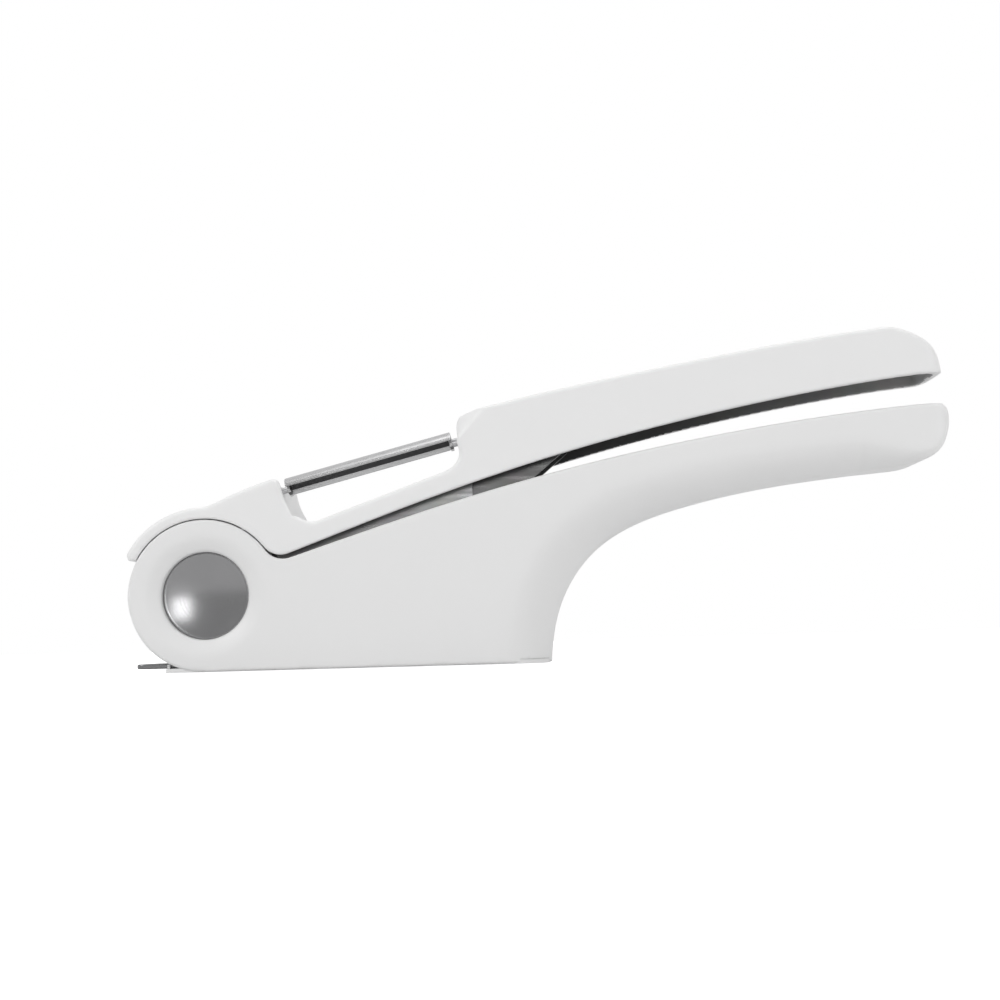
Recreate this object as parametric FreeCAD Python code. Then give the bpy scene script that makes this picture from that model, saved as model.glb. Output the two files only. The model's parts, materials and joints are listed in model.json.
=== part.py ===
import FreeCAD, Part
import math
import os

from FreeCAD import Vector

# Garlic press with a swivel peeler blade across its lever handle. Millimetres.
# Outlines are drawn about the pivot axis: X runs to the handle tips, Y along the pivot, Z up.
# Everything is moved at the end so that the origin is under the middle of the object.

# ---- driving dimensions ----
hub_r = 18.05             # round front of the body; the body stands on its lowest point
bore_r = 10.45            # side openings of the hub that show the pivot caps
flare_r = 15.2            # outer radius of the soft funnel around each side opening
flare_depth = 1.0
flare_shape = 0.35        # share of the depth left half-way out
cap_recess = 3.6          # from the body's side down to the cap's rim
cap_dish = 1.2            # how hollow the cap is
cap_thick = 0.8
cap_edge = 0.3            # flat rim around the dish
cap_seat_gap = 0.2        # cap to the axle's end
hub_half = 16.2           # half of the width across the hub
waist_x = 100.0           # where the plan stops tapering strongly
waist_half = 13.2
tip_half = 12.7
body_rear = 82.5          # rear of the standing part
lower_tip = 181.0         # end of the lower handle
tip_step = 1.6            # the lever ends this far before it
wall = 2.2                # moulded walls
nose = 9.0                # rounded end of the plan at the tips
tip_rim = 1.4             # rim left in front of the lower handle's end wall
rear_round = 12.0         # upright rear corners of the body
belly_round = 9.0         # underside of the lower handle
rest_lift = 2.3           # degrees the lever stands open at rest
shell_gap = 0.25          # lever shell to body, closed
cover_wall = 2.75         # lever's hood over the hub
lip_angle = 151.0         # where the hood ends, degrees from +X
valley_r = 5.3            # hollow between hub and back of the body
valley_low = 8.26
valley_exit = 18.0        # slope of the body's back where it leaves the hollow

cover_front = 90.0        # closing strip in the top of the lower handle
cover_thick = 1.8
hub_rim = 2.0             # rim wall of the hub
hub_side_gap = 0.5        # bush flange to the hub's cheeks
mouth_angle = 127.0       # front side of the hub's opening for the arm, degrees from +X
mouth_front = 8.0
mouth_rear = 20.0
mouth_lift = 2.4          # floor of that opening over the sieve plate
arm_plate = 1.5
arm_eye_r = 11.0
arm_slope = 0.36          # rise of the arm's back over its run
arm_back_x = 24.0         # a point on the arm's back
arm_back_z = 13.4
arm_end_x = 85.7          # a point on the arm's slanted rear edge
arm_end_z = 32.2
arm_end_lean = 1.185      # run of that edge over its rise
arm_neck_top = [(4, 10.2), (12, 13.5), (19, 13.0)]   # from the eye to the arm's back
arm_neck_low = [(16, -1), (8.2, -7.3), (0, 0)]
arm_skirt_front = 10.0
arm_skirt_down = 0.4      # top of the wider plates under the arm's back
skirt_gap = 0.2           # wider plates at the plunger, to the plunger's cheeks
skirt_thick = 1.4
arm_skirt_rear = 64.2
arm_drop = 8.6            # the side plates hang this far under the arm's back

axle_r = 4.0
bush_wall = 0.95
bush_gap = 0.05           # running clearance, radial
bush_flange_r = 6.6
bush_flange = 0.5

plate_thick = 1.2         # sieve
plate_lift = 0.95         # underside of the sieve over the ground
plate_lap = 1.2           # sieve past the chamber on each side
plate_front = -17.2
plate_rear = 60.0
plate_gap = 0.15
slot_end_gap = 0.5
plate_corner = 2.0        # corners of the finger tab
plate_edge = 0.35
sieve_pitch = 3.0
sieve_hole_r = 1.0
sieve_margin = 1.5        # rim without holes

frame_front = -9.2
frame_thick = 0.9
frame_inset = 0.7
lug_thick = 0.6
lug_high = 1.9
lug_wide = 1.6
frame_notch_rear = 14.0   # cut-out at the front of the frame, under the sieve
frame_notch_half = 9.0
outlet_front = 4.0        # outlet in the frame, ahead of the chamber's front wall
outlet_rear = 57.0
outlet_inset = 0.6

chamber_front_r = 28.0    # chamber walls are arcs about the pivot, inside radii
chamber_rear_r = 56.0
chamber_half = 10.8
chamber_wall = 1.0
chamber_rim_front = 2.0
chamber_rim_rear = 11.0
rim_slope = 0.32          # rise of the chamber's rim over its run
foot_gap = 0.4            # plunger to chamber
foot_wall = 1.2
foot_floor = 2.5
foot_clear = 0.4          # plunger over the sieve when closed
foot_top_gap = 0.2
cheek_rise = 3.2          # plunger's cheeks over the lower edge of the arm's plates

blade_front = (17.25, 25.83)   # peeler axis, on the middle plane
blade_rear = (60.93, 36.91)
blade_r = 4.8
blade_thick = 0.8
blade_sink = 2.05         # centre of the blade's arc under the swivel axis
blade_first = 1.0         # along the axis from its front point
blade_last = 43.4
blade_span = 66.0         # half of the blade's arc, degrees
blade_turn = 12.0        # how far the blade rests turned about its axis
slot_half = 1.1
slot_end = 3.5
web_half = 2.6            # end plates of the blade, which carry its pins
web_drop = 1.1            # how far they reach under the axis
pin_r = 0.8
pin_gap = 0.05
pin_short = 0.4           # pin ends this far before the bottom of its hole
peeler_front_face = -0.7  # faces of the post and the grip, along the axis
peeler_rear_face = 46.3
collar_r = 1.05           # thicker neck at the blade's rear end
collar_gap = 0.3
peg_r = 1.3
peg_long = 2.6
scoop_r = 46.0            # hollow face of the post in front of the blade
scoop_x = 20.7            # its bottom at the height scoop_z, on the middle plane
scoop_z = 16.5
scoop_lean = 0.28
post_x0 = 13.6            # the post behind it is solid between these two
post_x1 = 23.0
window_front_z = 18.4

screw_r = 1.5
screw_head_r = 2.8
screw_head = 1.4
screw_long = 9.0
boss_top = 6.0
rib_top = 4.0
brace_top = -2.0
brace_places = (32.0, 42.0, 52.0)
boss_r = 3.4
arm_screw_places = (70.0, 80.0)
frame_screw_x = 72.0
frame_screw_y = 8.0
rib_thick = 1.6
rivet_r = 1.6
rivet_places = (35.0, 49.0)
rivet_rise = 1.6          # over the lower edge of the arm's plates
tip_post_r = 2.4          # small post inside the lever's tip
tip_post_back = 12.8
tip_post_low = 52.5
seat_r = 3.0              # boss that carries the rear bush

# ---- values worked out from them ----
base_z = -hub_r
cover_r = hub_r + shell_gap + cover_wall
front_x = cover_r * math.cos(math.radians(lip_angle))
upper_tip = lower_tip - tip_step
plate_top = base_z + plate_lift + plate_thick
plate_half = chamber_half + plate_lap
foot_half = chamber_half - foot_gap
arm_skirt_half = foot_half - foot_wall - skirt_gap
arm_half = arm_skirt_half - skirt_thick
hub_cavity_half = arm_half + bush_flange + hub_side_gap
cap_seat = hub_half - cap_recess - cap_thick - cap_dish - cap_seat_gap
plate_slot_half = plate_half + plate_gap
origin_shift = Vector(-(front_x + lower_tip) / 2, 0, -base_z)
tall = 100.0              # taller than the whole object
wide = 40.0               # wider than the whole object
front_limit = -40.0
nose_fullness = 1.9
trough_deep = 75.0
rear_join = 45.0
room_front = 15.5
Y_AXIS = Vector(0, 1, 0)


# ---- drawing helpers ----
def at(x, z, y=0.0):
    return Vector(x, y, z)


def turned(point, degrees):
    a = math.radians(degrees)
    return (point[0] * math.cos(a) - point[1] * math.sin(a),
            point[0] * math.sin(a) + point[1] * math.cos(a))


def polar(radius, degrees):
    a = math.radians(degrees)
    return (radius * math.cos(a), radius * math.sin(a))


def line(a, b):
    return Part.makeLine(at(*a), at(*b))


def arc(a, middle, b):
    return Part.Arc(at(*a), at(*middle), at(*b)).toShape()


def curve(points, start, end):
    spline = Part.BSplineCurve()
    spline.interpolate(Points=[at(*p) for p in points], InitialTangent=at(*start), FinalTangent=at(*end))
    return spline.toShape()


def side_prism(edges, y_low, y_high):
    face = Part.Face(Part.Wire(edges))
    face.translate(Vector(0, y_low, 0))
    return face.extrude(Vector(0, y_high - y_low, 0))


def side_polygon(points, y_low, y_high):
    loop = list(points) + [points[0]]
    wire = Part.makePolygon([at(*p) for p in loop])
    face = Part.Face(wire)
    face.translate(Vector(0, y_low, 0))
    return face.extrude(Vector(0, y_high - y_low, 0))


def rod(radius, y_low, y_high, x=0.0, z=0.0):
    return Part.makeCylinder(radius, y_high - y_low, Vector(x, y_low, z), Y_AXIS)


def post(radius, x, y, z_low, z_high):
    return Part.makeCylinder(radius, z_high - z_low, Vector(x, y, z_low))


def block(x0, x1, y0, y1, z0, z1):
    return Part.makeBox(x1 - x0, y1 - y0, z1 - z0, Vector(x0, y0, z0))


def swept(shape, degrees):
    copy = shape.copy()
    copy.rotate(Vector(0, 0, 0), Y_AXIS, -degrees)
    return copy


def half_width(x):
    if x <= 0:
        return hub_half
    if x <= waist_x:
        return hub_half + (waist_half - hub_half) * x / waist_x
    return waist_half + (tip_half - waist_half) * (x - waist_x) / (lower_tip - waist_x)


def plan_prism(inset, tip):
    """Plan of the shells: a slow taper with a rounded nose at the tip."""
    shoulder = tip - nose
    stations = [front_limit, 0, waist_x, shoulder]
    near = [Vector(x, inset - half_width(x), 0) for x in stations]
    far_side = [Vector(p.x, -p.y, 0) for p in near[::-1]]
    end = Vector(tip - inset, 0, 0)
    near_side = Part.BSplineCurve()
    near_side.interpolate(near)
    other_side = Part.BSplineCurve()
    other_side.interpolate(far_side)
    round_end = Part.BSplineCurve()
    reach = nose_fullness * nose
    round_end.interpolate(Points=[near[-1], end, far_side[0]],
                          InitialTangent=Vector(reach, 0, 0), FinalTangent=Vector(-reach, 0, 0))
    closing = Part.makeLine(far_side[-1], near[0])
    edges = [near_side.toShape(), round_end.toShape(), other_side.toShape(), closing]
    face = Part.Face(Part.Wire(edges))
    face.translate(Vector(0, 0, -tall))
    return face.extrude(Vector(0, 0, 2 * tall))


# ---- shared outlines ----
valley_reach = hub_r + valley_r
valley_z = valley_low + valley_r
valley_x = math.sqrt(valley_reach ** 2 - valley_z ** 2)
valley_angle = math.degrees(math.atan2(valley_z, valley_x))


def valley_point(radius, degrees):
    p = polar(radius, degrees)
    return (valley_x + p[0], valley_z + p[1])


exit_angle = -90 + valley_exit
exit_slope = (math.cos(math.radians(valley_exit)), math.sin(math.radians(valley_exit)))
back_points = [(47.0, 17.05), (85.4, 27.7), (lower_tip - 52.2, 36.2), (lower_tip - 15.0, 40.8)]
back_end = (lower_tip - 2.4, 41.5)


def body_back(lift=0.0):
    """The long top edge of the body, optionally raised."""
    points = [valley_point(valley_r - lift, exit_angle)]
    points += [(x, z + lift) for x, z in back_points]
    points.append((back_end[0], back_end[1] + lift))
    return points


rear_points = [(body_rear, base_z), (body_rear + 2.2, -5.0), (body_rear + 11.4, 8.9)]
rear_points += [(body_rear + 32.4, 18.8), (lower_tip - 33.4, 24.8), (lower_tip - 13.0, 27.0)]
rear_start = (0.03, 1)
rear_end = (1, 0.12)
tip_low = (lower_tip - 0.6, 35.6)
tip_under = (lower_tip - 5.4, 29.3)
tip_end = (lower_tip - 0.3, 39.6)


def body_outline():
    hub_leave = polar(hub_r, valley_angle)
    exit_point = valley_point(valley_r, exit_angle)
    return [
        arc((0, base_z), (-hub_r, 0), hub_leave),
        arc(hub_leave, valley_point(valley_r, -120), exit_point),
        curve(body_back(), exit_slope, (1, 0)),
        curve([back_end, tip_end, tip_low], (1, 0), (-0.45, -1)),
        curve([tip_low, tip_under, rear_points[-1]], (-0.45, -1), (-1, -0.12)),
        curve(rear_points, rear_start, rear_end),
        line((body_rear, base_z), (0, base_z)),
    ]


def trough_section(point, tangent, inset, radius):
    """Round-bottomed channel section that stands on the belly line and opens inwards."""
    inward = Vector(-tangent.z, 0, tangent.x)
    inward.normalize()
    foot = Vector(point.x, 0, point.z) + inward * inset
    half = half_width(point.x) - inset
    deep = half_width(point.x + inward.x * trough_deep) - inset
    r = min(radius, half - 0.5) - inset

    def spot(t, y):
        return foot + inward * t + Vector(0, y, 0)

    skew = r * (1 - math.sqrt(0.5))
    low_left, low_right = spot(0, r - half), spot(0, half - r)
    edges = [Part.makeLine(low_left, low_right),
             Part.Arc(low_right, spot(skew, half - skew), spot(r, half)).toShape(),
             Part.makeLine(spot(r, half), spot(trough_deep, deep)),
             Part.makeLine(spot(trough_deep, deep), spot(trough_deep, -deep)),
             Part.makeLine(spot(trough_deep, -deep), spot(r, -half)),
             Part.Arc(spot(r, -half), spot(skew, skew - half), low_left).toShape()]
    return Part.Wire(edges)


def trough(inset):
    """Everything inside the rounded rear and underside."""
    belly = curve(rear_points, rear_start, rear_end)
    first, last = belly.FirstParameter, belly.LastParameter
    spots = []
    for share in (0.0, 0.12, 0.24, 0.38, 0.55, 0.8, 1.0):
        u = first + share * (last - first)
        spots.append((belly.valueAt(u), belly.tangentAt(u), rear_round + (belly_round - rear_round) * share))
    start, end = spots[0], spots[-1]
    spots.insert(0, (start[0] - start[1] * 20, start[1], start[2]))
    spots.append((end[0] + end[1] * 25, end[1], end[2]))
    return Part.makeLoft([trough_section(p, t, inset, r) for p, t, r in spots], True, False)


hood_ramp = [polar(cover_r, 92), (4.0, cover_r + 1.55), (8.1, cover_r + 3.35), (16.6, 27.36)]
post_edge = [hood_ramp[-1], (18.0, 26.9), (18.5, 25.6)]
post_face = [post_edge[-1], (20.0, 21.2), (22.8, 18.2), (26.0, 17.0), (29.0, 17.8)]
window_rear = (57.0, 27.9)
grip_face = [window_rear, (60.2, 29.8), (61.4, 32.4), (60.7, 36.5)]
grip_brow = [grip_face[-1], (60.4, 40.6), (61.6, 42.1)]
grip_back = [grip_brow[-1], (94.6, 49.2), (upper_tip - 50.0, 55.4), (upper_tip - 14.9, 60.3)]
tip_heel = turned((back_end[0], back_end[1] + shell_gap), rest_lift)
grip_tip = [grip_back[-1], (upper_tip - 8.6, 58.9), (upper_tip - 2.9, 55.0), (upper_tip, tip_heel[1] + 0.6)]


def lever_outline():
    lobe_r = valley_r - shell_gap
    inner_r = hub_r + shell_gap
    centre = turned((valley_x, valley_z), rest_lift)
    leave = turned(polar(inner_r, valley_angle), rest_lift)

    def lobe(degrees):
        p = polar(lobe_r, degrees)
        return (centre[0] + p[0], centre[1] + p[1])

    exit_point = lobe(exit_angle + rest_lift)
    under = [turned(p, rest_lift) for p in body_back(shell_gap)]
    under[0] = exit_point
    under[-1] = tip_heel
    under_start = turned(exit_slope, rest_lift)
    lip_in = polar(inner_r, lip_angle)
    lip_out = polar(cover_r, lip_angle)
    lip_mid = polar((inner_r + cover_r) / 2, lip_angle + 3.2)
    return [
        arc(lip_out, polar(cover_r, 120), hood_ramp[0]),
        curve(hood_ramp, (1, 0.03), (1, 0.28)),
        curve(post_edge, (1, 0.28), (0.2, -1)),
        curve(post_face, (0.2, -1), (1, 0.36)),
        line(post_face[-1], window_rear),
        curve(grip_face, (1, 0.36), (0, 1)),
        curve(grip_brow, (0, 1), (1, 0.25)),
        curve(grip_back, (1, 0.25), (1, 0.1)),
        curve(grip_tip, (1, 0.1), (0.3, -1)),
        line(grip_tip[-1], tip_heel),
        curve(under[::-1], turned((-1, 0), rest_lift), (-under_start[0], -under_start[1])),
        arc(exit_point, lobe(-120), leave),
        arc(leave, polar(inner_r, 110), lip_in),
        arc(lip_in, lip_mid, lip_out),
    ]


def drawn_in(points, depth):
    """The same run of points moved to its right by depth."""
    moved = []
    for i, (x, z) in enumerate(points):
        before = points[max(i - 1, 0)]
        after = points[min(i + 1, len(points) - 1)]
        run, rise = after[0] - before[0], after[1] - before[1]
        length = math.hypot(run, rise)
        moved.append((x + rise / length * depth, z - run / length * depth))
    return moved


def room_under(points):
    """Everything below a run of points, across the whole width."""
    return side_polygon([(points[0][0], -tall)] + points + [(points[-1][0], -tall)], -wide, wide)


def arm_back(x, drop=0.0):
    return arm_back_z + arm_slope * (x - arm_back_x) - drop


def arm_rear(drop):
    """Where the slanted rear edge meets a line that runs under the arm's back."""
    top = arm_back(0, drop)
    x = (arm_end_x + (top - arm_end_z) * arm_end_lean) / (1 - arm_slope * arm_end_lean)
    return (x, arm_back(x, drop))


# ---- body ----
def hub_bore(side):
    """Soft funnel and stepped bore in one side of the hub, as a cutting tool."""
    lip = hub_half - flare_depth
    seat = cap_seat
    profile = [Vector(0, side * seat, 0), Vector(bore_r, side * seat, 0), Vector(bore_r, side * lip, 0)]
    half_way = Vector((bore_r + flare_r) / 2, side * (lip + flare_shape * flare_depth), 0)
    mouth = [Vector(bore_r, side * lip, 0), half_way, Vector(flare_r, side * hub_half, 0)]
    flare = Part.BSplineCurve()
    flare.interpolate(Points=mouth, InitialTangent=Vector(1, side * flare_shape, 0), FinalTangent=Vector(1, 0, 0))
    edges = [Part.makeLine(a, b) for a, b in zip(profile[:-1], profile[1:])]
    edges.append(flare.toShape())
    edges.append(Part.makeLine(mouth[-1], Vector(flare_r, side * wide, 0)))
    edges.append(Part.makeLine(Vector(flare_r, side * wide, 0), Vector(0, side * wide, 0)))
    edges.append(Part.makeLine(Vector(0, side * wide, 0), profile[0]))
    face = Part.Face(Part.Wire(edges))
    return face.revolve(Vector(0, 0, 0), Y_AXIS, 360)


def body_solid():
    solid = side_prism(body_outline(), -wide, wide).common(plan_prism(0, lower_tip))
    front = block(front_limit, rear_join, -wide, wide, -tall, tall)
    return solid.common(trough(0)).fuse(solid.common(front))


def body_cavity():
    """Open-topped room between the side walls, and the slot for the lever arm in the hub."""
    front = block(room_front, rear_join, -wide, wide, -tall, tall)
    inside = plan_prism(wall, lower_tip)
    inside = inside.common(trough(wall)).fuse(inside.common(front))
    inside = inside.common(block(room_front, lower_tip - wall - tip_rim, -wide, wide, -tall, tall))
    tip_floor = drawn_in([tip_low, tip_under, rear_points[-1]], wall)
    below = [(tip_floor[-1][0], base_z), (lower_tip, base_z), (lower_tip, tip_floor[0][1])]
    inside = inside.cut(side_polygon(tip_floor + below, -wide, wide))
    hub_room = rod(hub_r - hub_rim, -hub_cavity_half, hub_cavity_half)
    floor = plate_top + mouth_lift
    mouth = [(0, 0), polar(tall, mouth_angle), (tall, tall), (tall, floor), (mouth_front, floor)]
    mouth = side_polygon(mouth, -hub_cavity_half, hub_cavity_half)
    mouth = mouth.common(block(-wide, mouth_rear, -wide, wide, -tall, tall))
    return inside.fuse([hub_room, mouth])


def make_lower_body():
    body = body_solid().cut(body_cavity())
    body = body.cut([hub_bore(1), hub_bore(-1), rod(axle_r, -hub_half, hub_half)])
    slot_top = plate_top + plate_gap
    slot = block(-wide, plate_rear + slot_end_gap, -plate_slot_half, plate_slot_half, base_z - 1, slot_top)
    seat = block(-wide, body_rear - frame_inset, -wide, wide, base_z - 1, base_z + frame_thick)
    body = body.cut([slot, seat.common(plan_prism(frame_inset, lower_tip))])
    room = plan_prism(wall / 2, lower_tip)
    extras = []
    for side in (-1, 1):
        y = side * frame_screw_y
        boss = post(boss_r, frame_screw_x, y, base_z + frame_thick, boss_top)
        low, high = sorted((y, side * wide))
        rib_front = frame_screw_x - rib_thick / 2
        rib = block(rib_front, rib_front + rib_thick, low, high, base_z + frame_thick, rib_top)
        extras.append(boss.fuse(rib.common(room)))
        low, high = sorted((side * (chamber_half + chamber_wall), side * wide))
        for x in brace_places:
            brace = block(x, x + rib_thick, low, high, slot_top, brace_top)
            extras.append(brace.common(room))
    body = body.fuse(extras)
    for side in (-1, 1):
        body = body.cut(post(screw_r, frame_screw_x, side * frame_screw_y, base_z, base_z + screw_long))
    return body


def make_lower_handle_cover():
    top = curve(body_back(), exit_slope, (1, 0))
    low = top.copy()
    low.translate(Vector(0, 0, -cover_thick))
    first, last = body_back()[0], body_back()[-1]
    front_end = line((first[0], first[1] - cover_thick), first)
    rear_end_line = line(last, (last[0], last[1] - cover_thick))
    strip = side_prism([front_end, top, rear_end_line, low], -wide, wide)
    strip = strip.common(plan_prism(wall, lower_tip))
    return strip.common(block(cover_front, lower_tip - wall - tip_rim, -wide, wide, -tall, tall))


def make_base_frame():
    slab = block(frame_front, body_rear - frame_inset, -wide, wide, base_z, base_z + frame_thick)
    slab = slab.common(plan_prism(frame_inset, lower_tip))
    front = block(frame_front, rear_join, -wide, wide, base_z, base_z + frame_thick)
    slab = slab.common(body_solid().fuse(front))
    outlet_half = chamber_half - outlet_inset
    outlet = block(chamber_front_r - outlet_front, outlet_rear, -outlet_half, outlet_half, base_z - 1, 0)
    notch = block(frame_front - 1, frame_notch_rear, -frame_notch_half, frame_notch_half, base_z - 1, 0)
    slab = slab.cut([outlet, notch])
    for side in (-1, 1):
        low, high = sorted((side * plate_slot_half, side * (plate_slot_half + lug_wide)))
        lug = block(frame_front, frame_front + lug_thick, low, high, base_z, base_z + lug_high)
        place = Vector(frame_screw_x, side * frame_screw_y, base_z)
        head = Part.makeCone(screw_head_r, screw_r, frame_thick, place)
        slab = slab.fuse(lug).cut(head)
    return slab


def make_frame_screws():
    screws = []
    for side in (-1, 1):
        x, y = frame_screw_x, side * frame_screw_y
        head = Part.makeCone(screw_head_r, screw_r, frame_thick, Vector(x, y, base_z))
        screws.append(head.fuse(post(screw_r, x, y, base_z + frame_thick, base_z + screw_long)))
    return Part.makeCompound(screws)


def chamber_tube(front_r, rear_r, half, z_low):
    """Solid between two arcs about the pivot."""
    y_low, y_high = -half, half
    ring = rod(rear_r, y_low, y_high).cut(rod(front_r, y_low, y_high))
    return ring.common(block(0, tall, -wide, wide, z_low, tall))


def make_press_chamber():
    low = plate_top + plate_gap
    outer = chamber_tube(chamber_front_r - chamber_wall, chamber_rear_r + chamber_wall,
                         chamber_half + chamber_wall, low)
    inner = chamber_tube(chamber_front_r, chamber_rear_r, chamber_half, low - 1)
    rim_front = (chamber_front_r, chamber_rim_front)
    rim_rear = (chamber_rear_r, chamber_rim_rear)
    rim = [(0, low - 1), (tall, low - 1), (tall, rim_rear[1] + (tall - rim_rear[0]) * rim_slope / 2)]
    rim += [rim_rear, rim_front, (0, rim_front[1] - rim_front[0] * rim_slope)]
    return outer.cut(inner).common(side_polygon(rim, -wide, wide))


def make_pivot_axle():
    return rod(axle_r, -cap_seat, cap_seat)


def make_pivot_cap(side):
    """Dished cap with a skirt that presses into the bore."""
    rim = hub_half - cap_recess
    edge = bore_r - cap_edge
    skirt = bore_r - cap_thick

    def dish(radius, depth):
        return Vector(radius, side * (rim - cap_dish * (1 - (radius / edge) ** 2) - depth), 0)

    front = Part.Arc(dish(0, 0), dish(edge / 2, 0), dish(edge, 0)).toShape()
    back = Part.Arc(dish(0, cap_thick), dish(skirt / 2, cap_thick), dish(skirt, cap_thick)).toShape()
    corners = [dish(edge, 0), Vector(bore_r, side * rim, 0), Vector(bore_r, side * cap_seat, 0),
               Vector(skirt, side * cap_seat, 0), dish(skirt, cap_thick)]
    edges = [front, back] + [Part.makeLine(a, b) for a, b in zip(corners[:-1], corners[1:])]
    edges.append(Part.makeLine(dish(0, cap_thick), dish(0, 0)))
    face = Part.Face(Part.Wire(Part.__sortEdges__(edges)))
    return face.revolve(Vector(0, 0, 0), Y_AXIS, 360)


def make_axle_bush(side):
    hole = axle_r + bush_gap
    inside = arm_half - arm_plate
    sleeve = rod(hole + bush_wall, *sorted((side * inside, side * arm_half)))
    flange = rod(bush_flange_r, *sorted((side * arm_half, side * (arm_half + bush_flange))))
    return sleeve.fuse(flange).cut(rod(hole, -wide, wide))


# ---- sieve ----
def make_sieve_plate():
    low = plate_top - plate_thick
    plate = block(plate_front, plate_rear, -plate_half, plate_half, low, plate_top)
    corners = [e for e in plate.Edges if e.BoundBox.ZLength > 1 and e.BoundBox.XMax < 0]
    plate = plate.makeFillet(plate_corner, corners)
    front = [e for e in plate.Edges if e.BoundBox.XMax < plate_front + 0.1 and e.BoundBox.ZLength < 0.01]
    plate = plate.makeFillet(plate_edge, front)
    holes = []
    rows = int((chamber_half - sieve_margin) / sieve_pitch)
    first = chamber_front_r - sieve_margin
    count = int((chamber_rear_r - 2 * sieve_margin - first) / sieve_pitch)
    for i in range(count + 1):
        for j in range(-rows, rows + 1):
            holes.append(post(sieve_hole_r, first + i * sieve_pitch, j * sieve_pitch, low - 1, plate_top + 1))
    return plate.cut(holes)


# ---- lever ----
def arm_normal():
    length = math.hypot(1, arm_slope)
    return Vector(-arm_slope / length, 0, 1 / length)


def arm_stud(x, radius, start, end):
    """A round bar square to the arm's back, from start to end above it."""
    n = arm_normal()
    foot = Vector(x, 0, arm_back(x)) + n * start
    return Part.makeCylinder(radius, end - start, foot, n)


def peeler_frame(shape):
    """Move a shape from the peeler's own axes (X along, Z up) to its place."""
    slope = math.degrees(math.atan2(blade_rear[1] - blade_front[1], blade_rear[0] - blade_front[0]))
    shape.rotate(Vector(0, 0, 0), Y_AXIS, -slope)
    shape.translate(Vector(blade_front[0], 0, blade_front[1]))
    return shape


def bar_along(radius, start, end):
    return Part.makeCylinder(radius, end - start, Vector(start, 0, 0), Vector(1, 0, 0))


def lever_solid():
    solid = side_prism(lever_outline(), -wide, wide).common(plan_prism(0, upper_tip))
    centre = Vector(scoop_x + scoop_r, 0, scoop_z)
    scoop = Part.makeCylinder(scoop_r, tall, centre, Vector(-scoop_lean, 0, 1))
    limit = block(0, post_x1, -wide, wide, window_front_z, tall)
    return solid.cut(scoop.common(limit))


def make_upper_handle():
    outer = lever_solid()
    roof = hood_ramp[1:] + post_face[:-1] + [window_rear] + grip_face[1:] + grip_back + grip_tip[1:]
    room = room_under(drawn_in(roof, wall)).common(plan_prism(wall, upper_tip))
    # keep the front post's face solid behind the scoop
    room = room.cut(block(post_x0, post_x1, -wide, wide, scoop_z, tall))
    shell = outer.cut(room)
    additions = [arm_stud(x, boss_r, 0, tall) for x in arm_screw_places]
    tip_post = post(tip_post_r, upper_tip - tip_post_back, 0, tip_post_low, tall)
    rear_seat = peeler_frame(bar_along(seat_r, peeler_rear_face, peeler_rear_face + peg_long + chamber_wall))
    additions += [tip_post, rear_seat]
    inner_fill = Part.makeCompound(additions).common(outer)
    shell = shell.fuse(inner_fill)
    holes = [arm_stud(x, screw_r, -1, screw_long) for x in arm_screw_places]
    front_hole = bar_along(peg_r, peeler_front_face - peg_long, blade_first + peg_long)
    rear_hole = bar_along(peg_r, blade_last - peg_long, peeler_rear_face + peg_long)
    holes += [peeler_frame(front_hole), peeler_frame(rear_hole)]
    return shell.cut(holes)


def rivet_bars(half):
    return [rod(rivet_r, -half, half, x, arm_back(x, arm_drop - rivet_rise)) for x in rivet_places]


def make_press_arm():
    half, plate = arm_half, arm_plate
    neck = arm_neck_top + [(arm_back_x, arm_back_z), arm_rear(0), arm_rear(arm_drop)]
    neck += [(arm_back_x, arm_back(arm_back_x, arm_drop))] + arm_neck_low
    sides = []
    for side in (-1, 1):
        y_low, y_high = sorted((side * (half - plate), side * half))
        sheet = side_polygon(neck, y_low, y_high).fuse(rod(arm_eye_r, y_low, y_high))
        sides.append(sheet)
        y_low, y_high = sorted((side * half, side * arm_skirt_half))
        skirt = [(x, arm_back(x, arm_skirt_down)) for x in (arm_skirt_front, arm_skirt_rear)]
        skirt += [(x, arm_back(x, arm_drop)) for x in (arm_skirt_rear, arm_skirt_front)]
        sides.append(side_polygon(skirt, y_low, y_high).cut(rod(hub_r + 1, -wide, wide)))
    web_x = arm_neck_top[-1][0]
    web = [(web_x, arm_back(web_x)), arm_rear(0), arm_rear(plate), (web_x, arm_back(web_x, plate))]
    web = side_polygon(web, -half, half)
    arm = sides[0].fuse(sides[1:] + [web])
    arm = arm.cut(rod(axle_r + bush_gap + bush_wall, -wide, wide))
    arm = arm.cut(rivet_bars(wide))
    return arm.cut([arm_stud(x, screw_r, -screw_long, screw_long) for x in arm_screw_places])


def foot_block(inset, bottom, drop):
    """The plunger's outline, drawn in by inset, with its top under the arm's back by drop."""
    tube = chamber_tube(chamber_front_r + foot_gap + inset, chamber_rear_r - foot_gap - inset,
                        foot_half - inset, plate_top + foot_clear + bottom)
    tube = swept(tube, rest_lift)
    top = [(0, arm_back(0, drop)), (tall, arm_back(tall, drop)), (tall, -tall), (0, -tall)]
    return tube.common(side_polygon(top, -wide, wide))


def make_press_foot():
    cup = foot_block(0, 0, arm_drop + foot_top_gap).cut(foot_block(foot_wall, foot_floor, 0))
    tall_block = foot_block(0, 0, arm_drop - cheek_rise)
    cheeks = []
    for side in (-1, 1):
        low, high = sorted((side * (foot_half - foot_wall), side * wide))
        cheeks.append(tall_block.common(block(0, tall, low, high, -tall, tall)))
    foot = cup.fuse(cheeks)
    return foot.cut(rivet_bars(wide))


def make_foot_rivets():
    return Part.makeCompound(rivet_bars(foot_half))


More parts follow.
